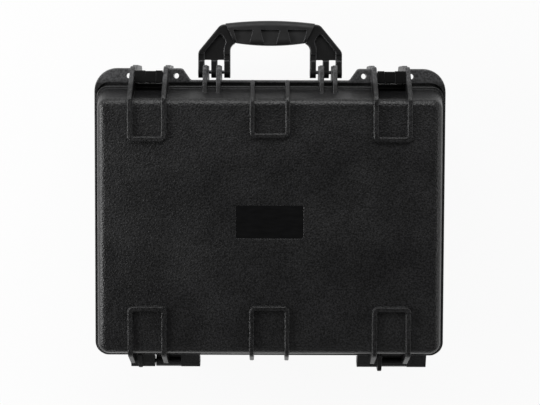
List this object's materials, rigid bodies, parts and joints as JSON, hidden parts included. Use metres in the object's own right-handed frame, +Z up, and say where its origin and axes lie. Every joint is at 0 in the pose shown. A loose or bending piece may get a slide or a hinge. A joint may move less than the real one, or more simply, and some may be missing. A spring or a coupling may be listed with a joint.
{
  "type": "hard case",
  "caption": "Black moulded protective case with hinged lid, sprung latches, folding handle, padlock tabs, seal, pressure valve and foam lining.",
  "frame": {"origin": "centre of the base's flat resting face, midway between the shell's side walls and midway between its hinge-side and handle-side walls", "axes": "+Z up through the closed lid, +Y from the hinges to the handle, +X to the right with the handle at the far side"},
  "size_m": [0.49, 0.4939, 0.155],
  "materials": {
    "shell_plastic": "pebble-grained",
    "handle_plastic": "fine-grained",
    "latch_plastic": "fine-grained",
    "valve_plastic": "smooth",
    "label_plastic": "smooth",
    "grip_rubber": "soft matte",
    "seal_rubber": "matte",
    "steel": "blackened wire",
    "foam": "open-cell foam"
  },
  "bodies": {
    "base": {"base_shell": "shell_plastic", "valve_body": "valve_plastic", "valve_seal": "seal_rubber", "valve_nut": "valve_plastic", "hinge_pin_left": "steel", "hinge_pin_right": "steel", "handle_pin_left": "steel", "handle_pin_right": "steel", "latch_pivot_pin_left": "steel", "latch_pivot_pin_right": "steel", "base_foam_pad": "foam", "base_foam_floor": "foam", "base_foam_left": "foam", "base_foam_right": "foam", "base_foam_front": "foam", "base_foam_back": "foam"},
    "lid": {"lid_shell": "shell_plastic", "lid_gasket": "seal_rubber", "lid_label_plate": "label_plastic", "lid_foam": "foam"},
    "handle": {"handle_frame": "handle_plastic", "handle_grip": "grip_rubber"},
    "valve_knob": {"valve_knob": "valve_plastic"},
    "latch_left": {"latch_lever_left": "latch_plastic", "latch_trigger_pin_left": "steel", "latch_trigger_spring_left": "steel"},
    "trigger_left": {"latch_trigger_left": "latch_plastic"},
    "latch_right": {"latch_lever_right": "latch_plastic", "latch_trigger_pin_right": "steel", "latch_trigger_spring_right": "steel"},
    "trigger_right": {"latch_trigger_right": "latch_plastic"}
  },
  "joints": [
    {"name": "lid_hinge", "type": "hinge", "parent": "base", "child": "lid", "pos_m": [0, -0.1995, 0.101], "axis": [1, 0, 0], "range_deg": [0, 100]},
    {"name": "handle_swing", "type": "hinge", "parent": "base", "child": "handle", "pos_m": [0, 0.2084, 0.077], "axis": [-1, 0, 0], "range_deg": [0, 90]},
    {"name": "valve_turn", "type": "hinge", "parent": "base", "child": "valve_knob", "pos_m": [0, 0.194, 0.075], "axis": [0, 1, 0], "range_deg": [0, 180]},
    {"name": "latch_left_swing", "type": "hinge", "parent": "base", "child": "latch_left", "pos_m": [-0.1667, 0.1997, 0.058], "axis": [-1, 0, 0], "range_deg": [0, 120]},
    {"name": "trigger_left_press", "type": "hinge", "parent": "latch_left", "child": "trigger_left", "pos_m": [-0.1667, 0.1997, 0.103], "axis": [-1, 0, 0], "range_deg": [0, 10], "stiffness_Nm_per_rad": 0.3},
    {"name": "latch_right_swing", "type": "hinge", "parent": "base", "child": "latch_right", "pos_m": [0.1667, 0.1997, 0.058], "axis": [-1, 0, 0], "range_deg": [0, 120]},
    {"name": "trigger_right_press", "type": "hinge", "parent": "latch_right", "child": "trigger_right", "pos_m": [0.1667, 0.1997, 0.103], "axis": [-1, 0, 0], "range_deg": [0, 10], "stiffness_Nm_per_rad": 0.3}
  ]
}
